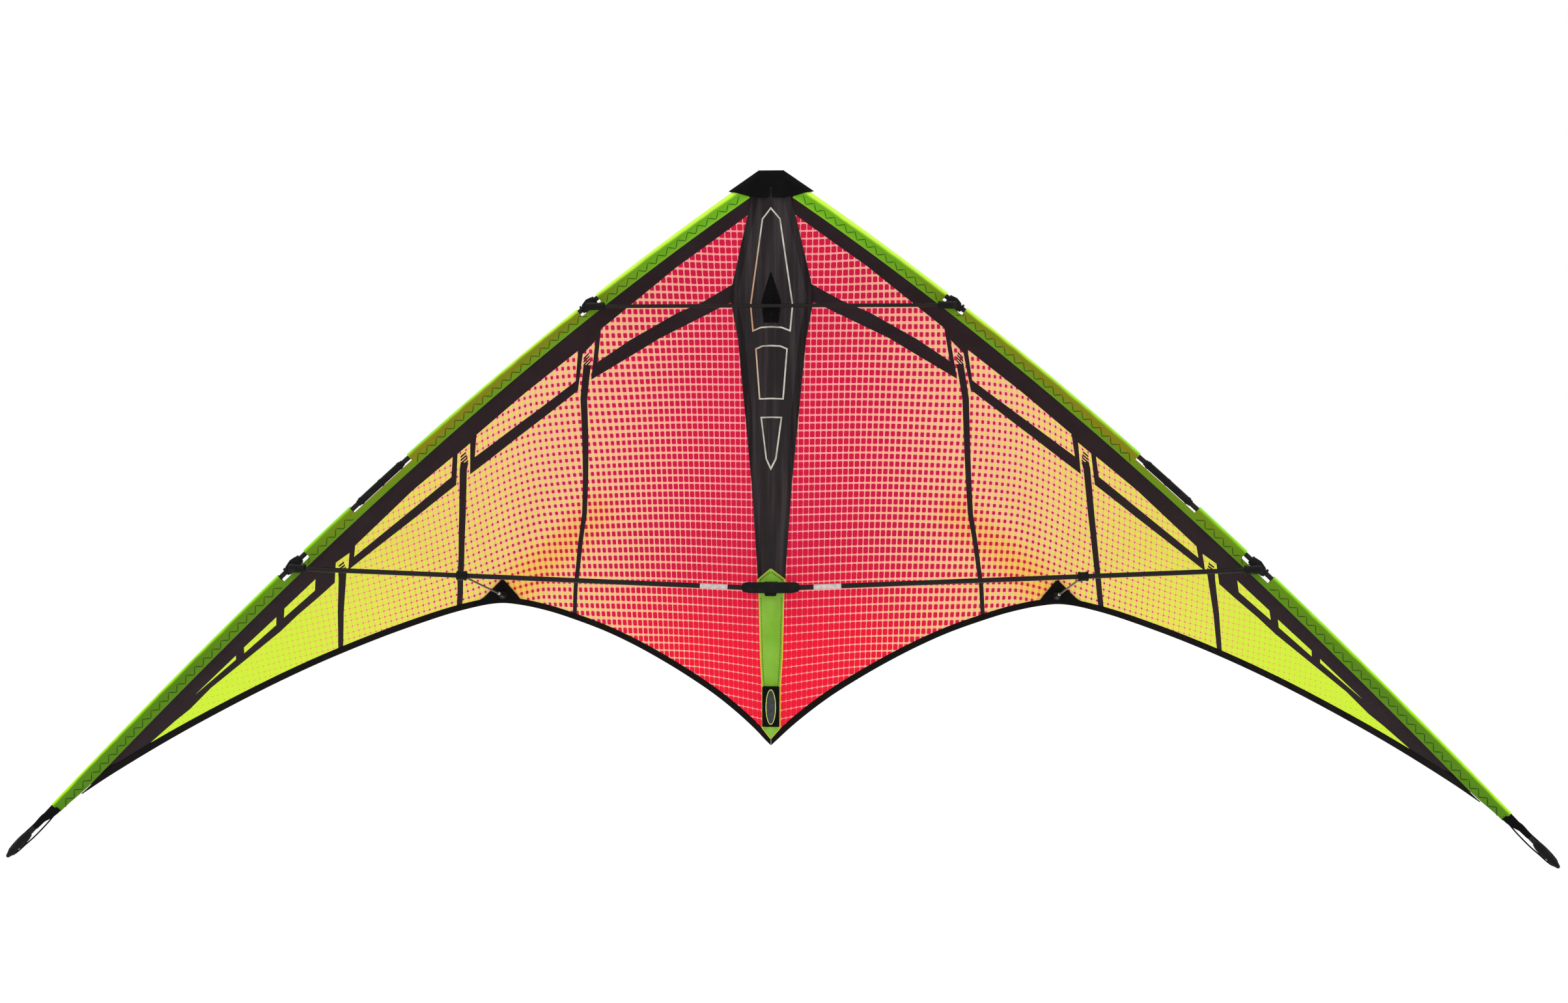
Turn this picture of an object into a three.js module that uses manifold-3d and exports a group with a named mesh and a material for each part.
// Dual-line delta sport kite, seen from its frame side.
// Millimetres. +X to the kite's right as drawn, +Z to the nose, +Y to the back of the sail.
// The origin is where the centre tee crosses the spine.
import * as THREE from 'three';
import { mergeVertices } from 'three/addons/utils/BufferGeometryUtils.js';
import Module from 'manifold-3d';

const wasm = await Module();
wasm.setup();

// ---------------------------------------------------------------- driving dimensions
const GAP = 0.3;                       // clearance between neighbouring pieces

// leading edge: polar curve about the apex, bending gently inwards towards the wing tip
const APEX_Z = 423.5;                  // where the two leading edges would meet
const EDGE_ANGLE = 56.03;              // degrees from the spine at the apex
const EDGE_BEND = 10.12;               // degrees per metre, taken off
const EDGE_EASE = 2.66;                // degrees per metre squared, given back
const EDGE_START = 27;                 // distance from the apex to the spar's inner end
const FERRULE_AT = 511;
const UPPER_FITTING_AT = 231;
const LOWER_FITTING_AT = 634;
const SLEEVE_START = 58;
const SLEEVE_END = 984;
const SPAR_END = 1040;
const NOCK_START = 1022;
const NOCK_END = 1055;

// rods
const SPAR_R = 2.5;
const SPINE_R = 2.75;
const TUBE_WALL = 0.9;
const SPREADER_R = 2.5;
const UPPER_ROD_R = 1.9;
const STANDOFF_R = 1.0;
const SPREADER_Y = -10.5;              // the lower spreaders lie in front of the spine
const UPPER_ROD_Y = -9.4;
const UPPER_ROD_Z = 285;
const SPINE_TOP = 404;
const SPINE_TAIL = -144;

// sleeve
const SLEEVE_R = 3.7;
const SLEEVE_BORE = 3.0;
const SLEEVE_FLAT = 11;                // from the spar's axis to the sleeve's inner edge
const SLEEVE_FLAT_THICK = 1.0;

// sail
const BELLY = 145;                     // how far the standoffs push the trailing edge back
const BELLY_RADIUS = 530;              // distance from the apex to that point
const BELLY_POWER = 1.25;
const BELLY_AT = 0.66;                 // share of the way from the spine to the sleeve
const INNER_CROWN = 0.7;
const OUTER_CROWN = 0.35;
const RIDGE_SOFTNESS = 0.12;
const KEEL_Y = -4;                     // cloth lies just in front of the spine
const SAIL_THICK = 0.9;
const HEM_WIDTH = 6.5;
const HEM_THICK = 1.5;
const PATCH_LIFT = 2.4;                // the standoff patch over the hem
const ROW_STEP = 45;                   // longest facet of the sail towards the nose
const SHEET_GAP = 0.8;                 // between cloth edges that meet

// centre tee
const TEE_HALF = 28.5;
const TEE_FRONT = -15.6;
const TEE_BACK = -6.4;
const ROD_SEAT = 12;                   // where a lower spreader's inner end sits in the tee
const ROD_RISE = 0.0407;               // slope of the lower spreaders towards the wing

// lower spreader: clip and far end
const CLIP_X = 314.7;
const ROD_FAR_X = 487;
const STANDOFF_FOOT = [294.3, -12.6];  // X, Z of the trailing-edge connector

// tail tab
const TAB_WIDTH = 17.5;
const TAB_LENGTH = 41;
const TAB_FOOT_Z = -141;
const TAB_Y = -6.9;

// trailing edge, lower rim of the hem, from the tail to the wing tip (X, Z)
const TRAILING_EDGE = [
  [0, -160], [25, -138], [56, -115], [87, -96], [118, -79], [149, -63.8], [180.5, -50.5], [212, -39.7],
  [244, -30.2], [276, -23.7], [300, -21.8], [338, -29], [398, -48.7], [458, -72.5], [516, -99.2],
  [573, -129], [629, -161], [685, -196.4], [712, -215.2],
].map(([x, z]) => new THREE.Vector3(x, 0, z));

// half width of the centre panel (Z, half width), nose to tail, then the keel strip over it
const PANEL_OUTLINE = [
  [393.5, 20.5], [345, 32], [297, 43], [252, 34.7], [180, 27.6], [106, 20.5], [9, 13.6],
];
const KEEL_OUTLINE = [
  [18.9, 0.6], [7.7, 13.4], [-6.6, 12.2], [-70.7, 10.8], [-99.8, 9.0], [-137, 9.0], [-149, 0.6],
];

// ---------------------------------------------------------------- materials
const material = (color, roughness = 0.7, metalness = 0) =>
  new THREE.MeshStandardMaterial({ color, roughness, metalness });
const CARBON = () => material(0x14110f, 0.32, 0.1);
const RUBBER = () => material(0x0d0d0e, 0.55);
const GREEN_CLOTH = () => material(0x7cc41c, 0.75);
const KEEL_CLOTH = () => material(0x76b52c, 0.8);
const BLACK_CLOTH = () => material(0x2b2628, 0.8);
const TAPE = () => material(0x100f0d, 0.75);
const PRINTED_CLOTH = () => material(0xf27a5c, 0.7);
const FELT = () => material(0x08080a, 0.95);
const CORD = () => material(0x0c0c0c, 0.85);

// ---------------------------------------------------------------- helpers
const kite = new THREE.Group();

function closed(geometry) {
  geometry.deleteAttribute('normal');
  geometry.deleteAttribute('uv');
  const merged = mergeVertices(geometry, 1e-4);
  const p = merged.attributes.position;
  const index = Array.from(merged.index.array);
  const kept = [];
  const corner = i => new THREE.Vector3().fromBufferAttribute(p, i);
  let volume = 0;
  for (let i = 0; i < index.length; i += 3) {
    const [a, b, c] = index.slice(i, i + 3);
    if (a === b || b === c || a === c) continue;
    kept.push(a, b, c);
    volume += corner(a).dot(corner(b).cross(corner(c)));
  }
  if (volume < 0) {
    for (let i = 0; i < kept.length; i += 3) [kept[i], kept[i + 1]] = [kept[i + 1], kept[i]];
  }
  merged.setIndex(kept);
  merged.computeVertexNormals();
  return merged;
}

function solid(geometry) {
  const g = closed(geometry.clone());
  return new wasm.Manifold(new wasm.Mesh({
    numProp: 3,
    vertProperties: new Float32Array(g.attributes.position.array),
    triVerts: new Uint32Array(g.index.array),
  }));
}

function surfaceOf(body) {
  const mesh = body.getMesh();
  const g = new THREE.BufferGeometry();
  g.setAttribute('position', new THREE.BufferAttribute(new Float32Array(mesh.vertProperties), 3));
  g.setIndex(new THREE.BufferAttribute(new Uint32Array(mesh.triVerts), 1));
  return g;
}

const joined = (first, ...others) => others.reduce((sum, g) => sum.add(solid(g)), solid(first));
const cut = (body, ...tools) => surfaceOf(tools.reduce((rest, g) => rest.subtract(solid(g)), body));

function piece(name, geometry, look, side = 1) {
  const shape = geometry.clone();
  shape.scale(side, 1, 1);
  const mesh = new THREE.Mesh(closed(shape), look);
  mesh.name = name;
  kite.add(mesh);
  return mesh;
}

// turns a shape drawn along one of its own axes to run along another direction
function pointed(geometry, drawnAlong, direction) {
  const turn = new THREE.Quaternion().setFromUnitVectors(drawnAlong, direction.clone().normalize());
  return geometry.applyQuaternion(turn);
}

const ALONG_Y = new THREE.Vector3(0, 1, 0);
const ALONG_Z = new THREE.Vector3(0, 0, 1);

// a straight round bar between two points
function bar(from, to, radius, sides = 14) {
  const axis = new THREE.Vector3().subVectors(to, from);
  const g = new THREE.CylinderGeometry(radius, radius, axis.length(), sides, 1);
  pointed(g, ALONG_Y, axis);
  const middle = new THREE.Vector3().addVectors(from, to).multiplyScalar(0.5);
  g.translate(middle.x, middle.y, middle.z);
  return g;
}

// a round shape turned about the line from one point towards another; profile is [radius, distance]
function turned(from, to, profile, sides = 14) {
  const g = new THREE.LatheGeometry(profile.map(([r, d]) => new THREE.Vector2(r, d)), sides);
  pointed(g, ALONG_Y, new THREE.Vector3().subVectors(to, from));
  g.translate(from.x, from.y, from.z);
  return g;
}

function circle(radius, sides) {
  const turn = i => (i / sides) * 2 * Math.PI;
  return Array.from({ length: sides }, (_, i) =>
    new THREE.Vector2(radius * Math.cos(turn(i)), radius * Math.sin(turn(i))));
}

function ringShape(outer, inner, sides = 10) {
  const shape = new THREE.Shape(circle(outer, sides));
  if (inner > 0) shape.holes.push(new THREE.Path(circle(inner, sides)));
  return shape;
}

function straightTube(from, to, outer, inner, sides = 12) {
  const axis = new THREE.Vector3().subVectors(to, from);
  const g = new THREE.ExtrudeGeometry(ringShape(outer, inner, sides), {
    depth: axis.length(), bevelEnabled: false, steps: 1,
  });
  pointed(g, ALONG_Z, axis);
  g.translate(from.x, from.y, from.z);
  return g;
}

// an outline in X-Z pushed from one Y to another
function slab(outline, front, back) {
  const shape = new THREE.Shape(outline.map(([x, z]) => new THREE.Vector2(x, z)));
  const g = new THREE.ExtrudeGeometry(shape, { depth: back - front, bevelEnabled: false });
  g.rotateX(Math.PI / 2);
  g.translate(0, back, 0);
  return g;
}

function box(x0, x1, y0, y1, z0, z1) {
  const g = new THREE.BoxGeometry(x1 - x0, y1 - y0, z1 - z0);
  g.translate((x0 + x1) / 2, (y0 + y1) / 2, (z0 + z1) / 2);
  return g;
}

// ---------------------------------------------------------------- the leading edge as a curve
function edgeAngle(r) {
  const metres = r / 1000;
  return THREE.MathUtils.degToRad(EDGE_ANGLE - EDGE_BEND * metres + EDGE_EASE * metres * metres);
}

const polar = (angle, r) => new THREE.Vector3(r * Math.sin(angle), 0, APEX_Z - r * Math.cos(angle));
const edgePoint = r => polar(edgeAngle(r), r);

function edgeFrame(r) {
  const along = edgePoint(r + 1).sub(edgePoint(r - 1)).normalize();
  const inward = new THREE.Vector3(along.z, 0, -along.x);
  return { at: edgePoint(r), along, inward };
}

// a section drawn in (inward, back), swept along the leading edge from r0 to r1
function alongEdge(shape, r0, r1, steps) {
  const g = new THREE.ExtrudeGeometry(shape, { depth: r1 - r0, steps, bevelEnabled: false });
  const p = g.attributes.position;
  for (let i = 0; i < p.count; i += 1) {
    const { at, inward } = edgeFrame(r0 + p.getZ(i));
    at.addScaledVector(inward, p.getX(i));
    p.setXYZ(i, at.x, p.getY(i), at.z);
  }
  return g;
}

// ---------------------------------------------------------------- the sail's surface
const sailAngleLimit = r => edgeAngle(r) - SLEEVE_FLAT / r;

function softMin(a, b) {
  const h = THREE.MathUtils.clamp(0.5 + (b - a) / (2 * RIDGE_SOFTNESS), 0, 1);
  return b + (a - b) * h - RIDGE_SOFTNESS * h * (1 - h);
}

function clothY(x, z) {
  const r = Math.hypot(x, APEX_Z - z);
  const share = Math.atan2(Math.abs(x), APEX_Z - z) / sailAngleLimit(r);
  const inner = share / BELLY_AT;
  const outer = (1 - share) / (1 - BELLY_AT);
  const rise = inner * (1 + INNER_CROWN * (1 - inner));
  const fall = outer * (1 + OUTER_CROWN * (1 - outer));
  const profile = Math.max(softMin(rise, fall), 0) * Math.min(1, share * 40);
  return KEEL_Y * (1 - Math.min(share, 1)) + BELLY * (r / BELLY_RADIUS) ** BELLY_POWER * profile;
}

// a sheet of cloth on that surface; place(u, v) gives X and Z for u and v from 0 to 1
function cloth(nu, nv, place, lift = 0, thick = SAIL_THICK) {
  const g = new THREE.BoxGeometry(1, 1, 1, nu, 1, nv);
  const p = g.attributes.position;
  for (let i = 0; i < p.count; i += 1) {
    const [x, z] = place(p.getX(i) + 0.5, p.getZ(i) + 0.5);
    p.setXYZ(i, x, clothY(x, z) - lift + p.getY(i) * thick, z);
  }
  return g;
}

function widthAt(outline, z) {
  if (z >= outline[0][0]) return outline[0][1];
  for (let i = 1; i < outline.length; i += 1) {
    const [z0, w0] = outline[i - 1];
    const [z1, w1] = outline[i];
    if (z >= z1) return w0 + ((w1 - w0) * (z0 - z)) / (z0 - z1);
  }
  return outline.at(-1)[1];
}

// a symmetric strip down the spine, with an outline of [Z, half width]
function spineStrip(outline, nu, rowsPerSpan, lift, thick) {
  const rows = [];
  for (let i = 1; i < outline.length; i += 1) {
    for (let k = 0; k < rowsPerSpan; k += 1) {
      rows.push(THREE.MathUtils.lerp(outline[i - 1][0], outline[i][0], k / rowsPerSpan));
    }
  }
  rows.push(outline.at(-1)[0]);
  const n = rows.length - 1;
  return cloth(nu, n, (u, v) => {
    const z = rows[Math.round(v * n)];
    return [(2 * u - 1) * widthAt(outline, z), z];
  }, lift, thick);
}

// ---------------------------------------------------------------- trailing edge
const rim = new THREE.CatmullRomCurve3(TRAILING_EDGE, false, 'centripetal');

function rimFrame(t) {
  const tangent = rim.getTangentAt(t);
  return { at: rim.getPointAt(t), up: new THREE.Vector3(-tangent.z, 0, tangent.x) };
}

function aboveRim(t, distance) {
  const { at, up } = rimFrame(t);
  at.addScaledVector(up, distance);
  const r = Math.hypot(at.x, APEX_Z - at.z);
  const angle = Math.atan2(at.x, APEX_Z - at.z);
  return { r, angle, spare: sailAngleLimit(r) - SHEET_GAP / r - angle };
}

// share of the rim at which a line this far above it runs into the sleeve
function meetsSleeve(distance) {
  let t = 1;
  while (aboveRim(t, distance).spare < 0) t -= 0.001;
  return t;
}

// a point above the rim, held clear of the sleeve where the two run together
function hemPoint(t, distance) {
  const { r, angle, spare } = aboveRim(t, distance);
  return polar(angle + Math.min(spare, 0), r);
}

// ---------------------------------------------------------------- root: spine, nose, tee and keel
function spine() {
  const bottom = new THREE.Vector3(0, 0, SPINE_TAIL);
  const top = new THREE.Vector3(0, 0, SPINE_TOP);
  piece('spine_tube', straightTube(bottom, top, SPINE_R, SPINE_R - TUBE_WALL), CARBON());
  const cap = (z, towards) => turned(
    new THREE.Vector3(0, 0, z), new THREE.Vector3(0, 0, z + towards),
    [[0, GAP], [SPINE_R, GAP], [SPINE_R, 2.4], [1.7, 3.8], [0, 4.2]],
  );
  piece('spine_top_cap', cap(SPINE_TOP, 1), RUBBER());
  piece('spine_tail_cap', cap(SPINE_TAIL, -1), RUBBER());
}

function noseCap() {
  const outer = [
    [12.6, 422.9], [-12.6, 422.9], [-43.4, 401.6], [-24, 397], [0, 395], [24, 397], [43.4, 401.6],
  ];
  const inner = [[12.2, 421.7], [-12.2, 421.7], [-43.4, 400.1], [-43.4, 390], [43.4, 390], [43.4, 400.1]];
  const shell = cut(solid(slab(outer, -7, 7)), slab(inner, -5.8, 5.8));
  piece('nose_cap', shell, TAPE());
}

function keelCloth() {
  piece('centre_panel', spineStrip(PANEL_OUTLINE, 6, 3, 0, 0.8), BLACK_CLOTH());
  const strip = spineStrip(KEEL_OUTLINE, 6, 2, 1.5, 0.8);
  const window = box(-6.6, 6.6, -12, 8, -6.2, 5.8);
  piece('keel_strip', cut(solid(strip), window), KEEL_CLOTH());
  const patch = [[318.8, 0.5], [289.5, 9.9], [268.4, 7.3]];
  piece('wear_patch', spineStrip(patch, 4, 2, 1.3, 0.7), FELT());
}

const rodZ = x => ROD_RISE * (x - TEE_HALF);
const rodPoint = x => new THREE.Vector3(x, SPREADER_Y, rodZ(x));

function centreTee() {
  const half = TEE_HALF;
  const outline = [
    [-half, 4.0], [-half + 1.2, 5.0], [0, 5.3], [half - 1.2, 5.0], [half, 4.0],
    [half, -3.6], [half - 1.2, -4.4], [5, -6.0], [-5, -6.0], [-half + 1.2, -4.4], [-half, -3.6],
  ];
  const body = joined(
    slab(outline, TEE_FRONT, TEE_BACK),
    box(-4, 4, TEE_BACK - 1, -3.5, -5, 4.4),
    bar(new THREE.Vector3(0, 0, -5.6), new THREE.Vector3(0, 0, 5.2), 5.5, 20),
  );
  const seats = [1, -1].map(side => {
    const seat = bar(rodPoint(ROD_SEAT - GAP), rodPoint(TEE_HALF + 4), SPREADER_R + GAP);
    return seat.scale(side, 1, 1);
  });
  const bore = bar(new THREE.Vector3(0, 0, -20), new THREE.Vector3(0, 0, 20), SPINE_R + GAP, 12);
  piece('centre_tee', cut(body, bore, ...seats), RUBBER());
}

function tailTab() {
  const half = TAB_WIDTH / 2;
  const top = TAB_FOOT_Z + TAB_LENGTH;
  const outline = [
    [-half, TAB_FOOT_Z], [half, TAB_FOOT_Z],
    [half, top - 1], [half - 1, top], [-half + 1, top], [-half, top - 1],
  ];
  piece('tail_tab', slab(outline, TAB_Y - 0.7, TAB_Y + 0.5), TAPE());
}

// ---------------------------------------------------------------- wings
function leadingEdge(name, side) {
  const tube = () => ringShape(SPAR_R, SPAR_R - TUBE_WALL);
  const meet = FERRULE_AT;
  piece(`${name}_upper_spar`, alongEdge(tube(), EDGE_START, meet - GAP, 12), CARBON(), side);
  piece(`${name}_lower_spar`, alongEdge(tube(), meet + GAP, SPAR_END, 12), CARBON(), side);
  const ferrule = ringShape(SPAR_R + 1.2, SPAR_R + GAP, 12);
  piece(`${name}_spar_ferrule`, alongEdge(ferrule, meet - 31, meet + 31, 4), CARBON(), side);
  const { at, along } = edgeFrame(EDGE_START);
  const capProfile = [[0, GAP], [SPAR_R, GAP], [SPAR_R, 2], [1.4, 3], [0, 3.2]];
  const cap = turned(at, at.clone().sub(along), capProfile, 10);
  piece(`${name}_spar_cap`, cap, RUBBER(), side);
}

function sleeve(name, side) {
  const half = SLEEVE_FLAT_THICK / 2;
  const start = Math.asin(half / SLEEVE_R);
  const sides = 11;
  const outline = Array.from({ length: sides + 1 }, (_, i) => {
    const turn = start + (i / sides) * 2 * (Math.PI - start);
    return new THREE.Vector2(SLEEVE_R * Math.cos(turn), SLEEVE_R * Math.sin(turn));
  });
  outline.push(new THREE.Vector2(SLEEVE_FLAT, -half), new THREE.Vector2(SLEEVE_FLAT, half));
  const section = new THREE.Shape(outline);
  section.holes.push(new THREE.Path(circle(SLEEVE_BORE, 10)));
  const full = solid(alongEdge(section, SLEEVE_START, SLEEVE_END, 18));
  const notch = (r, length, depth) => {
    const corners = [[-9, -9], [depth, -9], [depth, 9], [-9, 9]];
    const shape = new THREE.Shape(corners.map(([x, y]) => new THREE.Vector2(x, y)));
    return alongEdge(shape, r - length / 2, r + length / 2, 2);
  };
  const notches = [
    notch(UPPER_FITTING_AT, 25, 5.4), notch(FERRULE_AT, 80, 4.4), notch(LOWER_FITTING_AT, 37, 5.8),
  ];
  const open = cut(full, ...notches);
  piece(`${name}_edge_sleeve`, open, GREEN_CLOTH(), side);
}

// a moulded fitting: a block round the spar, a web forward, and a socket for a rod towards the spine
function edgeFitting({ at: r, blockLength, blockR, mouth, socketEnd, socketR, flareR, rodR, lineOf }) {
  const { at, along } = edgeFrame(r);
  const end = sign => at.clone().addScaledVector(along, (sign * blockLength) / 2);
  const seat = lineOf(mouth).lerp(lineOf(socketEnd), 0.75);
  const web = new THREE.BoxGeometry(blockR * 1.5, Math.abs(seat.y) + 1, blockR * 1.5);
  web.rotateY(Math.atan2(-along.z, along.x));
  web.translate((at.x + seat.x) / 2, seat.y / 2, (at.z + seat.z) / 2);
  const span = mouth - socketEnd;
  const point = share => lineOf(mouth - span * share);
  const socket = turned(point(0), point(1), [
    [0, 0], [flareR, 0], [flareR, 2.2], [socketR, 3.2], [socketR, Math.abs(span) - 1], [0, Math.abs(span)],
  ]);
  const body = joined(bar(end(-1), end(1), blockR), web, socket);
  const sparBore = bar(end(-2), end(2), SPAR_R + GAP, 12);
  const rodBore = bar(lineOf(mouth - 3), point(0.8), rodR + GAP, 12);
  return cut(body, sparBore, rodBore);
}

function fittings(name, side) {
  const lower = edgeFitting({
    at: LOWER_FITTING_AT, blockLength: 13, blockR: 5.2, mouth: 475.5, socketEnd: 492.5,
    socketR: 3.9, flareR: 4.6, rodR: SPREADER_R, lineOf: rodPoint,
  });
  piece(`${name}_lower_fitting`, lower, RUBBER(), side);
  const upper = edgeFitting({
    at: UPPER_FITTING_AT, blockLength: 11, blockR: 4.8, mouth: 171, socketEnd: 188,
    socketR: 3.1, flareR: 3.7, rodR: UPPER_ROD_R,
    lineOf: x => new THREE.Vector3(x, UPPER_ROD_Y, UPPER_ROD_Z),
  });
  piece(`${name}_upper_fitting`, upper, RUBBER(), side);
}

function wingTip(name, side) {
  const { at, along } = edgeFrame(NOCK_START);
  const ahead = at.clone().add(along);
  const length = NOCK_END - NOCK_START;
  const nockProfile = [[0, 0], [3.3, 0], [3.7, 5], [3.7, 14], [3.1, 22], [1.9, length - 2.5], [0, length]];
  const almond = turned(at, ahead, nockProfile, 14);
  const bore = bar(at.clone().addScaledVector(along, -5), edgePoint(SPAR_END + 1), SPAR_R + GAP, 12);
  piece(`${name}_tip_nock`, cut(solid(almond), bore), RUBBER(), side);

  const route = [
    [SLEEVE_END + 3, 6.8], [1000, 6.4], [1012, 5.6], [1024, 4.9],
    [1036, 5.0], [1046, 4.1], [1053, 2.9], [1057, 0],
  ];
  const inner = route.map(([r, off]) => {
    const frame = edgeFrame(r);
    return frame.at.addScaledVector(frame.inward, off);
  });
  const outer = route.slice(2, -1).reverse().map(([r, off]) => {
    const frame = edgeFrame(r);
    return frame.at.addScaledVector(frame.inward, -off);
  });
  const loop = new THREE.CatmullRomCurve3([...inner, ...outer], false, 'centripetal');
  const section = new THREE.Shape(circle(0.8, 8));
  const cord = new THREE.ExtrudeGeometry(section, { steps: 34, extrudePath: loop });
  piece(`${name}_tip_cord`, cord, CORD(), side);
}

// outline of the panel and, below it, of the keel strip
const SPINE_EDGE = [...PANEL_OUTLINE, ...KEEL_OUTLINE.filter(([z]) => z < PANEL_OUTLINE.at(-1)[0])];
const innerWidth = z => widthAt(SPINE_EDGE, z) + SHEET_GAP;

// angle from the spine, at a distance r from the apex, of the edge of the panel and the keel strip
function innerAngle(r) {
  let drop = r;
  for (let i = 0; i < 8; i += 1) drop = Math.sqrt(r * r - innerWidth(APEX_Z - drop) ** 2);
  return Math.atan2(innerWidth(APEX_Z - drop), drop);
}

// distances from the apex of the sail's rows, with one at every corner of the centre panel's outline
function sailRows(first, last) {
  const corners = SPINE_EDGE.map(([z]) => Math.hypot(innerWidth(z), APEX_Z - z));
  const rows = [first, ...corners.filter(r => r > first + 5 && r < last - 5), last].sort((a, b) => a - b);
  const spans = rows.slice(1).map((r, i) => [rows[i], r]);
  const between = spans.filter(([a, b]) => b - a > ROW_STEP).map(([a, b]) => (a + b) / 2);
  return [...rows, ...between].sort((a, b) => a - b);
}

// the sail's panel fans out from the apex: u runs from the spine to the sleeve, v from the rim to the nose
function sail(name, side) {
  const firstRim = 0.028;
  const nearNose = 42;
  const above = HEM_WIDTH + SHEET_GAP;
  const lastRim = meetsSleeve(above);
  const rimAt = u => aboveRim(THREE.MathUtils.lerp(firstRim, lastRim, u), above);
  const outerAngle = r => sailAngleLimit(r) - SHEET_GAP / r;
  const innerFoot = rimAt(0).r;
  const rows = sailRows(nearNose, innerFoot).reverse();
  const place = (u, v) => {
    const foot = rimAt(u);
    const share = THREE.MathUtils.clamp(
      (foot.angle - innerAngle(foot.r)) / (outerAngle(foot.r) - innerAngle(foot.r)), 0, 1);
    const down = (rows[Math.round(v * (rows.length - 1))] - nearNose) / (innerFoot - nearNose);
    const r = THREE.MathUtils.lerp(nearNose, foot.r, down);
    const p = polar(THREE.MathUtils.lerp(innerAngle(r), outerAngle(r), share), r);
    return [p.x, p.z];
  };
  piece(`${name}_sail`, cloth(24, rows.length - 1, place), PRINTED_CLOTH(), side);
}

function hem(name, side) {
  const end = meetsSleeve(0) - 0.004;
  const place = (u, v) => {
    const p = hemPoint(u * end, v * HEM_WIDTH);
    return [Math.max(p.x, GAP), p.z];
  };
  piece(`${name}_hem`, cloth(36, 1, place, 0, HEM_THICK), TAPE(), side);
}

function standoff(name, side) {
  const [footX, footZ] = STANDOFF_FOOT;
  const hub = rodPoint(CLIP_X);
  const patchFront = clothY(footX, footZ) - PATCH_LIFT - 3;
  const foot = new THREE.Vector3(footX, patchFront - 6, footZ);
  const direction = foot.clone().sub(hub).normalize();
  const reach = d => hub.clone().addScaledVector(direction, d);

  const axisEnd = sign => rodPoint(CLIP_X + (sign * 10.6) / 2);
  const stub = bar(reach(2), reach(13), 2.4, 12);
  const barrel = joined(bar(axisEnd(-1), axisEnd(1), 4.7, 16), stub);
  const rodHole = bar(axisEnd(-3), axisEnd(3), SPREADER_R + GAP, 12);
  const standoffHole = bar(reach(5), reach(20), STANDOFF_R + GAP, 10);
  const clip = cut(barrel, rodHole, standoffHole);
  piece(`${name}_standoff_clip`, clip, RUBBER(), side);
  piece(`${name}_standoff_rod`, bar(reach(5.6), foot, STANDOFF_R, 10), CARBON(), side);

  const back = new THREE.Vector3(footX, patchFront - 0.4, footZ);
  const socket = foot.clone().addScaledVector(direction, -9);
  const connector = joined(
    bar(socket, foot.clone().addScaledVector(direction, 3), 2.4, 12),
    bar(back, back.clone().add(new THREE.Vector3(0, -3.2, 0)), 4.2, 14),
  );
  const along = distance => foot.clone().addScaledVector(direction, distance);
  const bore = bar(along(-14), along(GAP), STANDOFF_R + GAP, 10);
  piece(`${name}_edge_connector`, cut(connector, bore), RUBBER(), side);

  const apexZ = 0.7;
  const baseZ = -14.6;
  const place = (u, v) => {
    const z = THREE.MathUtils.lerp(baseZ, apexZ, v);
    const left = THREE.MathUtils.lerp(footX - 15, footX - 0.6, v);
    const right = THREE.MathUtils.lerp(footX + 20, footX + 0.6, v);
    return [THREE.MathUtils.lerp(left, right, u), z];
  };
  piece(`${name}_standoff_patch`, cloth(8, 3, place, PATCH_LIFT, 0.7), TAPE(), side);
}

function lowerSpreader(name, side) {
  const tube = straightTube(rodPoint(ROD_SEAT), rodPoint(ROD_FAR_X), SPREADER_R, SPREADER_R - TUBE_WALL);
  piece(`${name}_lower_spreader`, tube, CARBON(), side);
}

function upperSpreader() {
  const end = x => new THREE.Vector3(x, UPPER_ROD_Y, UPPER_ROD_Z);
  piece('upper_spreader', bar(end(-183), end(183), UPPER_ROD_R, 12), CARBON());
}

spine();
noseCap();
keelCloth();
centreTee();
tailTab();
upperSpreader();
for (const [name, side] of [['left', -1], ['right', 1]]) {
  leadingEdge(name, side);
  sleeve(name, side);
  fittings(name, side);
  wingTip(name, side);
  sail(name, side);
  hem(name, side);
  standoff(name, side);
  lowerSpreader(name, side);
}

export default kite;
